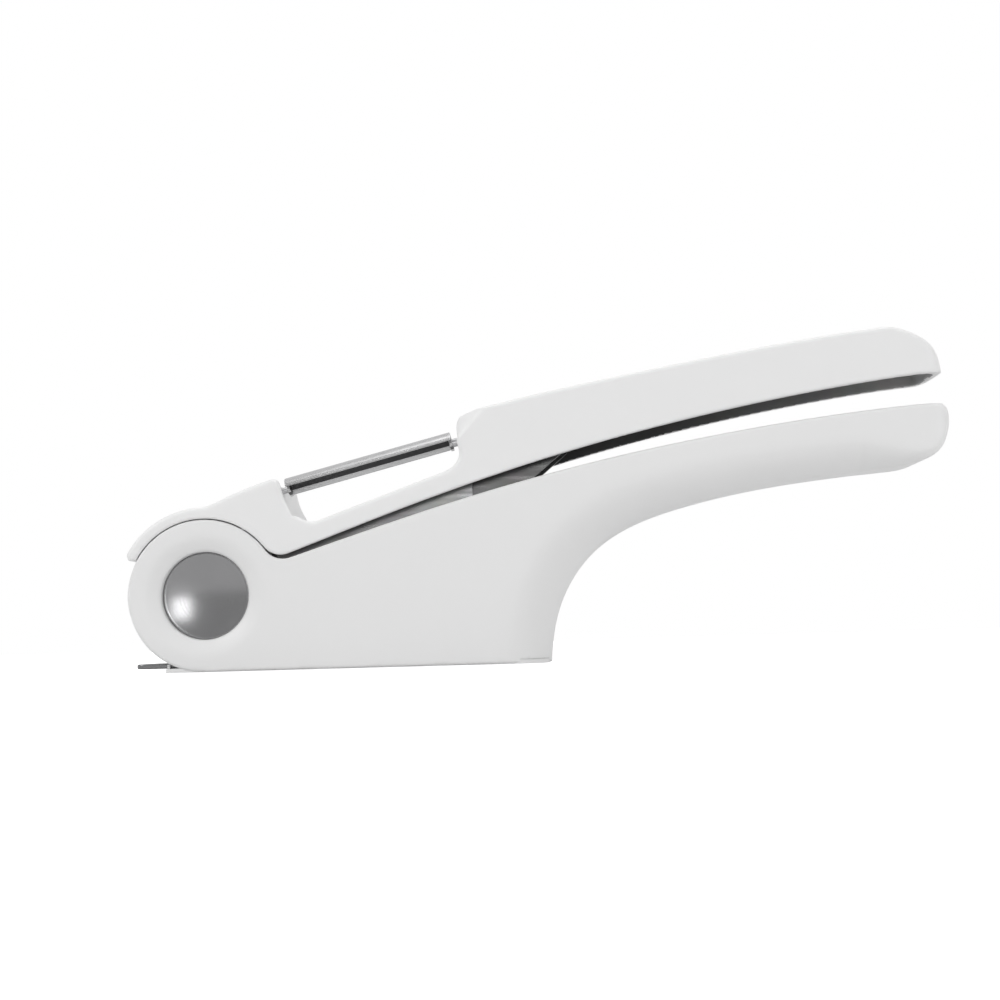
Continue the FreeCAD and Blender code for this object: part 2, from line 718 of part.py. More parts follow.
def make_arm_screws():
    screws = []
    for x in arm_screw_places:
        head = arm_stud(x, screw_head_r, -arm_plate - screw_head, -arm_plate)
        screws.append(head.fuse(arm_stud(x, screw_r, -arm_plate, screw_long)))
    return Part.makeCompound(screws)


# ---- peeler ----
def make_peeler_blade():
    long = blade_last - blade_first
    centre = Vector(blade_first, 0, -blade_sink)
    along = Vector(1, 0, 0)
    shell = Part.makeCylinder(blade_r, long, centre, along)
    shell = shell.cut(Part.makeCylinder(blade_r - blade_thick, long, centre, along))
    reach = 3 * blade_r
    a = math.radians(blade_span)
    left = centre + Vector(0, reach * math.sin(a), reach * math.cos(a))
    right = centre + Vector(0, -reach * math.sin(a), reach * math.cos(a))
    wedge = Part.makePolygon([centre, left, centre + Vector(0, 0, reach), right, centre])
    shell = shell.common(Part.Face(wedge).extrude(Vector(long, 0, 0)))
    slot = block(blade_first + slot_end, blade_last - slot_end, -slot_half, slot_half, 0, reach)
    shell = shell.cut(slot)
    web = Part.makeCylinder(blade_r - blade_thick / 4, blade_thick, centre, along)
    web = web.common(block(0, tall, -web_half, web_half, -web_drop, reach))
    other = web.copy()
    other.translate(Vector(long - blade_thick, 0, 0))
    blade = shell.fuse([web, other])
    blade.rotate(Vector(0, 0, 0), along, -blade_turn)
    return peeler_frame(blade)


def make_peeler_pin(front):
    if front:
        pin = bar_along(pin_r, peeler_front_face - peg_long + pin_short, blade_first)
    else:
        pin = bar_along(pin_r, blade_last, peeler_rear_face + peg_long - pin_short)
        pin = pin.fuse(bar_along(collar_r, blade_last, peeler_rear_face - collar_gap))
    return peeler_frame(pin)


def make_peeler_bush(front):
    hole = pin_r + pin_gap
    if front:
        start, end = peeler_front_face - peg_long, peeler_front_face
    else:
        start, end = peeler_rear_face, peeler_rear_face + peg_long
    return peeler_frame(bar_along(peg_r, start, end).cut(bar_along(hole, start, end)))


def main():
    os.makedirs("parts", exist_ok=True)
    nodes = {
        "lower_body": make_lower_body(),
        "lower_handle_cover": make_lower_handle_cover(),
        "base_frame": make_base_frame(),
        "frame_screws": make_frame_screws(),
        "press_chamber": make_press_chamber(),
        "pivot_axle": make_pivot_axle(),
        "pivot_cap_near": make_pivot_cap(-1),
        "pivot_cap_far": make_pivot_cap(1),
        "axle_bush_near": make_axle_bush(-1),
        "axle_bush_far": make_axle_bush(1),
        "sieve_plate": make_sieve_plate(),
        "upper_handle": make_upper_handle(),
        "press_arm": make_press_arm(),
        "press_foot": make_press_foot(),
        "foot_rivets": make_foot_rivets(),
        "arm_screws": make_arm_screws(),
        "peeler_blade": make_peeler_blade(),
        "peeler_pin_front": make_peeler_pin(True),
        "peeler_pin_rear": make_peeler_pin(False),
        "peeler_bush_front": make_peeler_bush(True),
        "peeler_bush_rear": make_peeler_bush(False),
    }
    for name, shape in nodes.items():
        shape = shape.removeSplitter()
        shape.translate(origin_shift)
        print(name, "valid", shape.isValid(), "solids", len(shape.Solids), "volume", round(shape.Volume, 1))
        shape.exportStep("parts/" + name + ".step")


main()
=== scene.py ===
import bpy
import json
import math
import numpy as np
from mathutils import Euler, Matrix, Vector


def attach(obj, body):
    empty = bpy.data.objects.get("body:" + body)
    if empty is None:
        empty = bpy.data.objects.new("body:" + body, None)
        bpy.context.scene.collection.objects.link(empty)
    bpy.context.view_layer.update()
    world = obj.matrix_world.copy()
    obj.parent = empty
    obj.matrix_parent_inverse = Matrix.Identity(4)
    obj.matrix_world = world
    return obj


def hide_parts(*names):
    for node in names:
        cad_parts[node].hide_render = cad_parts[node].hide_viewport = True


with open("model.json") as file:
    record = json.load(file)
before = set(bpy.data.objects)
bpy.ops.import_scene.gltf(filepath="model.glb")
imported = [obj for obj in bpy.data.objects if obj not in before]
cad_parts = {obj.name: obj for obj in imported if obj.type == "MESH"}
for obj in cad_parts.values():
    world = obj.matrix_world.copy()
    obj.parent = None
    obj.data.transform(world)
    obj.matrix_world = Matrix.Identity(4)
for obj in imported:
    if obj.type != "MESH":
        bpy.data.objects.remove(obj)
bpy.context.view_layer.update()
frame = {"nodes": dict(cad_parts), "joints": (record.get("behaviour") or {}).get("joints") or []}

# The moulded shells and the blade are made as distance fields in millimetres, in the same drawing
# axes as the design: X from the hinge to the handle tips, Y along the hinge, Z up. A closed mesh is
# drawn where each field is zero, and it is then moved to the hinge's place in the frame, in metres.
MM = 0.001
joints = {j["name"]: j for j in frame["joints"]}
PIVOT = np.array(joints["handle_hinge"]["pos_m"], float)

# ---- sizes of the shells ----
# the hub, the bore for its caps and the funnel round the bore
HUB_R, HUB_HALF, HUB_WALL, HUB_SLOT = 18.05, 16.2, 2.0, 8.6
BASE_Z = -HUB_R
BORE_R, BORE_SEAT, AXLE_R = 10.45, 10.6, 4.0
FLARE_R, FLARE_DEPTH, FLARE_POWER = 15.2, 1.7, 1.6
# both handles: widths, ends, walls, and how they part behind the hub
WAIST_X, WAIST_HALF, TIP_HALF = 100.0, 13.2, 12.7
BODY_REAR, LOWER_TIP, UPPER_TIP = 82.5, 181.0, 179.4
NOSE, NOSE_POWER = 9.0, 0.62
WALL, TIP_RIM = 2.2, 1.4
REST_LIFT, SHELL_GAP = 2.3, 0.25
VALLEY_R, VALLEY_LOW, VALLEY_EXIT = 5.3, 8.26, 18.0
# roundings of the edges
EDGE_R, LEVER_EDGE_R, BROW_R, SOFT_R = 1.0, 1.2, 0.6, 0.5
FILLET_R, SHARP_R, RIM_R, CRISP_R = 0.4, 0.35, 0.15, 0.1
# lower body: the rounding along its rear and belly, where its top edge softens, its mouth and room
BELLY_X, BELLY_ROUND = (BODY_REAR, 120.0, 158.0, 176.0), (12.8, 10.0, 9.0, 2.0)
HOLLOW_X, HUB_EASE = (22.0, 36.0), 6.0
MOUTH_ANGLE, MOUTH_X, MOUTH_FLOOR, MOUTH_REACH = 127.0, (8.0, 20.0), -13.5, 60.0
ROOM_FRONT, BASE_TRIM = 15.5, 0.05
# lower body: the sieve's slot, the base frame's seat and the bosses for its screws
PLATE_HALF, PLATE_Z, PLATE_END = 12.15, -15.75, 60.5
SEAT_IN, SEAT_DEEP = 1.2, 0.9
SCREW_X, SCREW_Y, SCREW_HOLE, BOSS_R, BOSS_TOP = 72.0, 8.0, 1.5, 3.4, 6.0
RIB_HALF, RIB_TOP, RIB_IN = 0.8, 4.0, 1.0
# lever: the hood over the hub, the post with its hollow face, and the bowed front of the grip
COVER_R = HUB_R + SHELL_GAP + 2.75
LIP_ANGLE, LIP_ROUND = 151.0, 3.2
POST_X, SCOOP_LOW = (13.6, 23.0), 18.4
SCOOP_R, SCOOP_X, SCOOP_Z = 46.0, 20.7, 16.5
SCOOP_LEAN, SCOOP_ACROSS, SCOOP_CUT = 0.28, 0.963, 0.995
BOW_X, BOW_DEPTH, BOW_Z, BOW_HEIGHT, BOW_SHARE = 60.3, 5.4, 35.5, 7.0, 0.8
BOW_FROM, BOW_LOW, GRIP_LOW = 50.0, 34.0, 31.0
ROOF_END, ROOF_LOW = 68.0, 37.0
# lever: the seats of the blade's bushes, the bosses for the arm's screws and the post near the tip
BUSH_SEAT_R, BUSH_SEAT, BUSH_HOLE = 3.0, (45.8, 50.1), (-3.3, 48.9)
BUSH_R, BUSH_MIDDLE = (0.95, 1.3), 20.0
ARM_X, ARM_Z, ARM_SLOPE, ARM_SCREWS = 24.0, 13.4, 0.36, (70.0, 80.0)
TIP_POST_X, TIP_POST_R, TIP_POST_LOW = 167.0, 2.4, 52.5
BOSS_IN = 1.0
KEEP_R = 0.2
# lever: limits of the painted shade on its inner faces
DARK_NEAR, DARK_FROM, DARK_GRIP_X, DARK_GRIP_Z, DARK_POST_R = 0.25, 24.0, 67.5, 36.5, 2.8
# grids in millimetres, and a distance beyond everything
GRID, BLADE_GRID, PLANE_GRID = 0.5, 0.16, 0.4
FAR = 200.0
CURVE_STEPS = 12


# ---- curves in a plane ----
def turned(point, degrees):
    a = math.radians(degrees)
    return (point[0] * math.cos(a) - point[1] * math.sin(a),
            point[0] * math.sin(a) + point[1] * math.cos(a))


def polar(radius, degrees, centre=(0, 0)):
    a = math.radians(degrees)
    return (centre[0] + radius * math.cos(a), centre[1] + radius * math.sin(a))


def arc(centre, radius, first, last, count):
    return [polar(radius, a, centre) for a in np.linspace(first, last, count)]


def spline(points, start, end):
    """Points along a smooth curve that leaves along start and arrives along end."""
    p = np.array(points, float)
    gap = np.linalg.norm(np.diff(p, axis=0), axis=1)
    n = len(p)
    system, right = np.zeros((n, n)), np.zeros((n, 2))
    system[0, 0] = system[-1, -1] = 1
    right[0] = np.array(start) / math.hypot(*start)
    right[-1] = np.array(end) / math.hypot(*end)
    for i in range(1, n - 1):
        system[i, i - 1:i + 2] = gap[i], 2 * (gap[i - 1] + gap[i]), gap[i - 1]
        right[i] = 3 * (gap[i] * (p[i] - p[i - 1]) / gap[i - 1]
                        + gap[i - 1] * (p[i + 1] - p[i]) / gap[i])
    slope = np.linalg.solve(system, right)
    line = []
    for i in range(n - 1):
        for t in np.arange(CURVE_STEPS) / CURVE_STEPS:
            line.append(tuple((2 * t**3 - 3 * t**2 + 1) * p[i]
                              + (t**3 - 2 * t**2 + t) * gap[i] * slope[i]
                              + (3 * t**2 - 2 * t**3) * p[i + 1]
                              + (t**3 - t**2) * gap[i] * slope[i + 1]))
    return line + [tuple(p[-1])]


def sloped(x, z, foot, slope):
    """Distance along the line that leaves foot at that angle, and distance above the line."""
    c, s = math.cos(slope), math.sin(slope)
    return c * (x - foot[0]) + s * (z - foot[1]), c * (z - foot[1]) - s * (x - foot[0])


def drawn_in(points, depth):
    """The same run of points moved to its right by depth."""
    moved = []
    for i, (x, z) in enumerate(points):
        before, after = points[max(i - 1, 0)], points[min(i + 1, len(points) - 1)]
        run, rise = after[0] - before[0], after[1] - before[1]
        length = math.hypot(run, rise)
        moved.append((x + rise / length * depth, z - run / length * depth))
    return moved


class Plane:
    """Signed distance to a closed outline in a plane, negative inside, read from a fine grid."""

    def __init__(self, outline, low, high):
        self.low = np.array(low, float)
        count = ((np.array(high) - self.low) / PLANE_GRID).astype(int) + 2
        u = self.low[0] + PLANE_GRID * np.arange(count[0])[:, None]
        v = self.low[1] + PLANE_GRID * np.arange(count[1])[None, :]
        best = np.full((count[0], count[1]), 1e9)
        inside = np.zeros(best.shape, bool)
        ring = [p for i, p in enumerate(outline) if i == 0 or math.dist(p, outline[i - 1]) > 1e-6]
        for (ax, av), (bx, bv) in zip(ring, ring[1:] + ring[:1]):
            du, dv = bx - ax, bv - av
            square = du * du + dv * dv
            if square < 1e-12:
                continue
            t = np.clip(((u - ax) * du + (v - av) * dv) / square, 0, 1)
            best = np.minimum(best, (u - ax - t * du) ** 2 + (v - av - t * dv) ** 2)
            if dv != 0:
                crosses = (av > v) != (bv > v)
                inside ^= crosses & (u < ax + du * (v - av) / dv)
        self.values = np.where(inside, -1, 1) * np.sqrt(best)

    def __call__(self, u, v):
        gu = np.clip((u - self.low[0]) / PLANE_GRID, 0, self.values.shape[0] - 1.001)
        gv = np.clip((v - self.low[1]) / PLANE_GRID, 0, self.values.shape[1] - 1.001)
        iu, iv = gu.astype(int), gv.astype(int)
        fu, fv = gu - iu, gv - iv
        g = self.values
        return ((1 - fu) * ((1 - fv) * g[iu, iv] + fv * g[iu, iv + 1])
                + fu * ((1 - fv) * g[iu + 1, iv] + fv * g[iu + 1, iv + 1]))


def both(a, b, radius):
    """Inside both fields, with the edge between them rounded."""
    a, b = a + radius, b + radius
    return np.minimum(np.maximum(a, b), 0) + np.hypot(np.maximum(a, 0), np.maximum(b, 0)) - radius


def either(a, b, radius):
    """Inside one or the other, with the corner between them filled."""
    return -both(-a, -b, radius)


def without(a, b, radius):
    """Inside a and outside b, with the edge between them rounded."""
    return both(a, -b, radius)


# ---- outlines shared by the two shells ----
SIDE_LOW, SIDE_HIGH = (-24, -20), (187, 64)
PLAN_LOW, PLAN_HIGH = (-24, -18), (187, 18)
VALLEY_Z = VALLEY_LOW + VALLEY_R
VALLEY_X = math.sqrt((HUB_R + VALLEY_R) ** 2 - VALLEY_Z ** 2)
VALLEY_ANGLE = math.degrees(math.atan2(VALLEY_Z, VALLEY_X))
EXIT_ANGLE = VALLEY_EXIT - 90
EXIT_SLOPE = polar(1, VALLEY_EXIT)
BACK_POINTS = [(47.0, 17.05), (85.4, 27.7), (128.8, 36.2), (166.0, 40.8)]
BACK_END = (178.6, 41.5)
REAR_POINTS = [(BODY_REAR, BASE_Z), (84.7, -5.0), (93.9, 8.9), (114.9, 18.8), (147.6, 24.8),
               (168.0, 27.0)]
TIP_UNDER, TIP_LOW, TIP_END = (175.6, 29.3), (180.4, 35.6), (180.7, 39.6)


def body_back(lift):
    """Points along the top of the lower handle, raised by lift."""
    points = [polar(VALLEY_R - lift, EXIT_ANGLE, (VALLEY_X, VALLEY_Z))]
    points += [(x, z + lift) for x, z in BACK_POINTS]
    return points + [(BACK_END[0], BACK_END[1] + lift)]


def half_width(x):
    """Half of the object's width at x."""
    return np.interp(x, [0, WAIST_X, LOWER_TIP], [HUB_HALF, WAIST_HALF, TIP_HALF])


def plan(tip):
    """Seen from above: a slow taper with a rounded nose at the tip."""
    shoulder = tip - NOSE
    taper = [(-40, -HUB_HALF), (0, -HUB_HALF), (WAIST_X, -WAIST_HALF)]
    taper.append((shoulder, -float(half_width(shoulder))))
    side = spline(taper, (1, 0), (1, 0.005))
    half = side[-1][1]
    near = [(shoulder + NOSE * math.sin(a) ** NOSE_POWER, half * math.cos(a) ** NOSE_POWER)
            for a in np.linspace(0, 0.5 * math.pi, 20)[1:-1]]
    near.append((tip, 0.0))
    outline = side + near + [(x, -y) for x, y in (side + near[:-1])[::-1]]
    return Plane(outline, PLAN_LOW, PLAN_HIGH)


# ---- lower body ----
def lower_body_field():
    """Body, hub and lower handle: one shell, open under the hood and at the base."""
    top = arc((0, 0), HUB_R, 270, VALLEY_ANGLE, 90)
    top += arc((VALLEY_X, VALLEY_Z), VALLEY_R, 180 + VALLEY_ANGLE, 360 + EXIT_ANGLE, 24)
    top += spline(body_back(0), EXIT_SLOPE, (1, 0))
    top += [(FAR * 2, BACK_END[1]), (FAR * 2, -FAR), (0, -FAR)]
    rear = [(BODY_REAR, -FAR)] + spline(REAR_POINTS, (0.03, 1), (1, 0.12))
    rear += spline([REAR_POINTS[-1], TIP_UNDER, TIP_LOW], (1, 0.12), (0.45, 1))
    rear += spline([TIP_LOW, TIP_END, BACK_END], (0.45, 1), (-1, 0))
    rear += [(BACK_END[0], FAR), (-FAR, FAR), (-FAR, -FAR)]
    a_top, a_rear = Plane(top, SIDE_LOW, SIDE_HIGH), Plane(rear, SIDE_LOW, SIDE_HIGH)
    mouth = [(0, 0), polar(MOUTH_REACH, MOUTH_ANGLE), (MOUTH_REACH, MOUTH_REACH),
             (MOUTH_REACH, MOUTH_FLOOR), (MOUTH_X[0], MOUTH_FLOOR)]
    a_mouth = Plane(mouth, SIDE_LOW, SIDE_HIGH)
    across = plan(LOWER_TIP)

    def field(x, y, z):
        side, upper, back = across(x, y), a_top(x, z), a_rear(x, z)
        width = np.abs(y)
        round_r = np.interp(x, BELLY_X, BELLY_ROUND)
        # the hub's top edge and the hollow behind it stay sharper, where the lever sits
        low_edge = (SHARP_R - EDGE_R) * np.clip(z / HUB_EASE + 1, 0, 1) * (x < HOLLOW_X[0])
        edge = np.where(z < 0, EDGE_R + low_edge, np.interp(x, HOLLOW_X, (SHARP_R, EDGE_R)))
        shell = np.maximum(both(upper, side, edge), both(back, side, round_r))
        shell = np.maximum(shell, both(BASE_Z + BASE_TRIM - z, np.maximum(side, back), SOFT_R))
        # the room inside, and the opening that the lever's arm swings through
        room = both(side + WALL, back + WALL, np.maximum(round_r - WALL, 1))
        room = np.maximum(room, np.maximum(ROOM_FRONT - x, x - (LOWER_TIP - WALL - TIP_RIM)))
        radius = np.hypot(x, z)
        room = np.minimum(room, np.maximum(radius - HUB_R + HUB_WALL, width - HUB_SLOT))
        opening = np.maximum(np.maximum(a_mouth(x, z), width - HUB_SLOT), x - MOUTH_X[1])
        shell = without(shell, np.minimum(room, opening), SHARP_R)
        # the funnels, the bores for the caps and the hole for the axle
        share = np.clip((FLARE_R - radius) / (FLARE_R - BORE_R), 0, 1)
        funnel = width - (half_width(x) - FLARE_DEPTH * share ** FLARE_POWER)
        shell = both(shell, funnel, FILLET_R)
        shell = without(shell, np.maximum(radius - BORE_R, BORE_SEAT - width), SOFT_R)
        shell = without(shell, radius - AXLE_R, CRISP_R)
        slot = np.maximum(np.maximum(width - PLATE_HALF, z - PLATE_Z), x - PLATE_END)
        seat = np.maximum(np.maximum(side + SEAT_IN, z - BASE_Z - SEAT_DEEP), x - BODY_REAR + SEAT_IN)
        shell = without(shell, np.minimum(slot, seat), CRISP_R)
        # bosses for the base frame's screws, each joined to the wall by a rib
        spoke, foot = np.hypot(x - SCREW_X, width - SCREW_Y), BASE_Z + SEAT_DEEP - z
        boss = np.maximum(spoke - BOSS_R, np.maximum(z - BOSS_TOP, foot))
        rib = np.maximum(np.abs(x - SCREW_X) - RIB_HALF, np.maximum(SCREW_Y - width, side + RIB_IN))
        boss = np.minimum(boss, np.maximum(rib, np.maximum(z - RIB_TOP, foot)))
        return either(shell, np.maximum(boss, SCREW_HOLE - spoke), FILLET_R)

    return field


# ---- lever ----
HOOD_RAMP = [polar(COVER_R, 92), (4.0, 22.6), (8.1, 24.4), (16.6, 27.36)]
POST_EDGE = [HOOD_RAMP[-1], (18.0, 26.9), (18.5, 25.6)]
POST_FACE = [POST_EDGE[-1], (20.0, 21.2), (22.8, 18.2), (26.0, 17.0), (29.0, 17.8)]
WINDOW_REAR = (57.0, 27.9)
GRIP_FACE = [WINDOW_REAR, (60.2, 29.8), (61.4, 32.4), (60.7, 36.5)]
GRIP_BROW = [GRIP_FACE[-1], (60.4, 40.6), (61.6, 42.1)]
GRIP_BACK = [GRIP_BROW[-1], (94.6, 49.2), (129.4, 55.4), (164.5, 60.3)]
TIP_HEEL = turned((BACK_END[0], BACK_END[1] + SHELL_GAP), REST_LIFT)[1] + 0.6
GRIP_TIP = [GRIP_BACK[-1], (170.8, 58.9), (176.5, 55.0), (UPPER_TIP, TIP_HEEL)]
PEEL_FRONT, PEEL_REAR = (17.25, 25.83), (60.93, 36.91)
PEEL_SLOPE = math.atan2(PEEL_REAR[1] - PEEL_FRONT[1], PEEL_REAR[0] - PEEL_FRONT[0])


def lever_roof():
    """The room under the lever's roof, seen from the side."""
    roof = HOOD_RAMP[1:] + POST_FACE[:-1] + [WINDOW_REAR] + GRIP_FACE[1:] + GRIP_BACK + GRIP_TIP[1:]
    roof = drawn_in(roof, WALL)
    return Plane([(roof[0][0], -FAR)] + roof + [(roof[-1][0], -FAR)], SIDE_LOW, SIDE_HIGH)


def lever_field():
    """Lever: the hood, the post, the window's floor and the grip, as one shell open below."""
    upper = arc((0, 0), COVER_R, LIP_ANGLE, 92, 30)
    upper += spline(HOOD_RAMP, (1, 0.03), (1, 0.28))
    upper += spline(POST_EDGE, (1, 0.28), (0.2, -1))
    upper += spline(POST_FACE, (0.2, -1), (1, 0.36))
    upper += spline(GRIP_FACE, (1, 0.36), (0, 1))
    upper += spline(GRIP_BROW, (0, 1), (1, 0.25))
    upper += spline(GRIP_BACK, (1, 0.25), (1, 0.1))
    upper += spline(GRIP_TIP, (1, 0.1), (0.3, -1))
    upper += [(UPPER_TIP, -FAR), (upper[0][0], -FAR)]
    inner_r = HUB_R + SHELL_GAP
    centre = turned((VALLEY_X, VALLEY_Z), REST_LIFT)
    under = [turned(p, REST_LIFT) for p in body_back(SHELL_GAP)]
    under[0] = polar(VALLEY_R - SHELL_GAP, EXIT_ANGLE + REST_LIFT, centre)
    lower = [(-FAR, FAR), (-FAR, polar(COVER_R, LIP_ANGLE)[1]), polar(COVER_R, LIP_ANGLE)]
    lower += [polar((inner_r + COVER_R) / 2, LIP_ANGLE + LIP_ROUND), polar(inner_r, LIP_ANGLE)]
    lower += arc((0, 0), inner_r, LIP_ANGLE, VALLEY_ANGLE + REST_LIFT, 60)
    lower += arc(centre, VALLEY_R - SHELL_GAP, 180 + VALLEY_ANGLE + REST_LIFT,
                 360 + EXIT_ANGLE + REST_LIFT, 24)
    lower += spline(under, turned(EXIT_SLOPE, REST_LIFT), turned((1, 0), REST_LIFT))
    lower += [(UPPER_TIP, TIP_HEEL), (2 * FAR, TIP_HEEL), (2 * FAR, FAR)]
    a_up, a_low = (Plane(line, SIDE_LOW, SIDE_HIGH) for line in (upper, lower))
    a_room, across = lever_roof(), plan(UPPER_TIP)

    def field(x, y, z):
        side, width = across(x, y), np.abs(y)
        shell = np.maximum(both(a_up(x, z), side, LEVER_EDGE_R), both(a_low(x, z), side, RIM_R))
        # hollow face of the post in front of the blade
        lean = x - SCOOP_X - SCOOP_R + SCOOP_LEAN * (z - SCOOP_Z)
        scoop = np.hypot(lean * SCOOP_ACROSS, y) - SCOOP_R * SCOOP_CUT
        scoop = np.maximum(np.maximum(scoop, SCOOP_LOW - z), x - POST_X[1])
        shell = without(shell, scoop, SOFT_R)
        # the grip's front is bowed, more so towards its top
        bow = BOW_DEPTH * np.clip((z - BOW_Z) / BOW_HEIGHT, 0, 1) * (width / WAIST_HALF) ** 3
        bow = BOW_X + bow
        front = np.maximum(np.maximum((x - bow) * BOW_SHARE, BOW_LOW - z), BOW_FROM - x)
        shell = without(shell, front, BROW_R)
        # the room inside, less what stays solid behind the post, the grip's front and its roof
        room = both(a_room(x, z), side + WALL, EDGE_R)
        keep = np.maximum(np.maximum(POST_X[0] - x, x - POST_X[1]), SCOOP_Z - z)
        grip = np.maximum(np.maximum(x - bow - WALL, GRIP_LOW - z), BOW_FROM - x)
        keep = np.minimum(np.minimum(keep, grip), np.maximum(x - ROOF_END, ROOF_LOW - z))
        shell = without(shell, without(room, keep, KEEP_R), FILLET_R)
        # the post near the tip, the rear bush's seat and the bosses for the arm's screws
        extra = np.maximum(np.hypot(x - TIP_POST_X, y) - TIP_POST_R, TIP_POST_LOW - z)
        run, off = sloped(x, z, PEEL_FRONT, PEEL_SLOPE)
        spoke = np.hypot(off, y)
        seat = np.maximum(spoke - BUSH_SEAT_R, np.maximum(BUSH_SEAT[0] - run, run - BUSH_SEAT[1]))
        extra = np.minimum(extra, seat)
        for place in ARM_SCREWS:
            foot = (place, ARM_Z + ARM_SLOPE * (place - ARM_X))
            along, rise = sloped(x, z, foot, math.atan(ARM_SLOPE))
            extra = np.minimum(extra, np.maximum(np.hypot(along, y) - BOSS_R, -rise))
        extra = np.maximum(extra, np.maximum(a_up(x, z) + BOSS_IN, side + BOSS_IN))
        shell = either(shell, extra, SOFT_R)
        # holes for the bushes
        hole = np.maximum(BUSH_HOLE[0] - run, run - BUSH_HOLE[1])
        hole = np.maximum(spoke - np.where(run < BUSH_MIDDLE, *BUSH_R), hole)
        return without(shell, hole, CRISP_R)

    return field


def painted_shade_under_lever_roof():
    """True where the lever's inner faces get painted shade, apart from the grip's front and the post
    near the tip.
    """
    roof, across = lever_roof(), plan(UPPER_TIP)

    def inside(x, y, z):
        room = both(roof(x, z), across(x, y) + WALL, EDGE_R)
        clear = ((x > DARK_GRIP_X) | (z < DARK_GRIP_Z)) & (np.hypot(x - TIP_POST_X, y) > DARK_POST_R)
        return (room < DARK_NEAR) & (x > DARK_FROM) & clear

    return inside


# ---- closed mesh where a field is zero ----
SLAB = 32
SETTLE_ROUNDS, SETTLE_SHARE, SETTLE_REACH = 3, 0.8, 0.4
SLOPE_STEP, SLOPE_LEAST = 0.05, 0.3


def surface(field, box, step):
    """Vertices and quads of the surface: one vertex in each cell that it cuts, moved onto it."""
    low, high = (np.array(corner, float) for corner in box)
    count = ((high - low) / step).astype(int) + 2
    axes = [low[i] + step * np.arange(count[i]) for i in range(3)]
    values = np.empty(tuple(count), np.float32)
    for i in range(0, count[0], SLAB):
        grid = np.meshgrid(axes[0][i:i + SLAB], axes[1], axes[2], indexing="ij")
        values[i:i + SLAB] = field(*grid)
    solid = values < 0
    corners = [(i, j, k) for i in (0, 1) for j in (0, 1) for k in (0, 1)]
    cells = tuple(count - 1)

    def corner(array, c):
        return array[c[0]:c[0] + cells[0], c[1]:c[1] + cells[1], c[2]:c[2] + cells[2]]

    total = sum(corner(solid, c).astype(np.int8) for c in corners)
    mixed = np.argwhere((total > 0) & (total < 8))
    index = np.full(cells, -1, np.int64)
    index[tuple(mixed.T)] = np.arange(len(mixed))
    place = np.zeros((len(mixed), 3))
    hits = np.zeros(len(mixed))
    for c in corners:
        for axis in range(3):
            if c[axis]:
                continue
            other = list(c)
            other[axis] = 1
            va = values[tuple((mixed + c).T)]
            vb = values[tuple((mixed + other).T)]
            cut = (va < 0) != (vb < 0)
            t = np.where(cut, va / np.where(cut, va - vb, 1), 0)
            spot = np.array(c, float)[None, :].repeat(len(mixed), 0)
            spot[:, axis] = t
            place += spot * cut[:, None]
            hits += cut
    points = low + step * (mixed + place / hits[:, None])
    quads = []
    for axis in range(3):
        a, b = [i for i in range(3) if i != axis]
        ends = [slice(None)] * 3
        starts = [slice(None)] * 3
        ends[axis], starts[axis] = slice(1, None), slice(None, -1)
        change = solid[tuple(starts)] != solid[tuple(ends)]
        edge = np.argwhere(change)
        edge = edge[(edge[:, a] > 0) & (edge[:, a] < cells[a])
                    & (edge[:, b] > 0) & (edge[:, b] < cells[b])]
        ring = []
        for da, db in ((-1, -1), (0, -1), (0, 0), (-1, 0)):
            cell = edge.copy()
            cell[:, a] += da
            cell[:, b] += db
            ring.append(index[tuple(cell.T)])
        quad = np.array(ring).T
        outward = solid[tuple(edge.T)]
        flip = outward == (axis == 1)
        quad[flip] = quad[flip][:, ::-1]
        quads.append(quad)
    quads = np.concatenate(quads)
    tiny, reach = SLOPE_STEP, SETTLE_REACH * step
    for _ in range(SETTLE_ROUNDS):
        x, y, z = points.T
        here = field(x, y, z)
        slope = np.array([field(x + tiny, y, z) - field(x - tiny, y, z),
                          field(x, y + tiny, z) - field(x, y - tiny, z),
                          field(x, y, z + tiny) - field(x, y, z - tiny)]).T / (2 * tiny)
        size = np.maximum((slope ** 2).sum(1), SLOPE_LEAST)
        move = -np.clip(here, -reach, reach)[:, None] * slope / size[:, None]
        points = points + SETTLE_SHARE * move
    return points, quads


def smooth_object(name, points, faces, marked=None):
    """An object in the frame from drawing points in millimetres, with its marked faces' finish."""
    mesh = bpy.data.meshes.new(name)
    mesh.from_pydata((np.array(points) * MM + PIVOT).tolist(), [], faces)
    if marked is not None:
        mesh.polygons.foreach_set("material_index", marked.astype(np.int32))
        mesh.validate()
    mesh.polygons.foreach_set("use_smooth", [True] * len(mesh.polygons))
    mesh.update()
    thing = bpy.data.objects.new(name, mesh)
    bpy.context.collection.objects.link(thing)
    return thing


def piece(name, field, box, step, inner, place=None):
    """An object whose faces take the second material, a painted shade, where inner says so."""
    points, quads = surface(field, box, step)
    marked = inner(*points[quads].mean(1).T)
    if place is not None:
        points = place(points)
    return smooth_object(name, points, quads.tolist(), marked)


def all_outside(x, y, z):
    """For a piece with one finish only."""
    return np.zeros(x.shape, bool)


# ---- peeler blade ----
BLADE_R, BLADE_THICK, BLADE_SINK = 4.8, 0.8, 2.05
BLADE_FIRST, BLADE_LAST = 1.0, 43.4
BLADE_TURN = math.radians(12.0)
BLADE_SPAN = math.radians(66.0)
SLOT_HALF, SLOT_END = 1.1, 3.5
SLOT_OFF, SLOT_BEVEL, SLOT_TRIM = 0.2, 0.6, 0.1
BLADE_EDGE_R, SLOT_EDGE_R = 0.25, 0.08
WEB_HALF, WEB_DROP, WEB_IN = 2.6, 1.1, 0.3
# how far the painted shade reaches on the blade's hollow side
HOLLOW_DEEP, HOLLOW_ANGLE = 0.2, 48.0


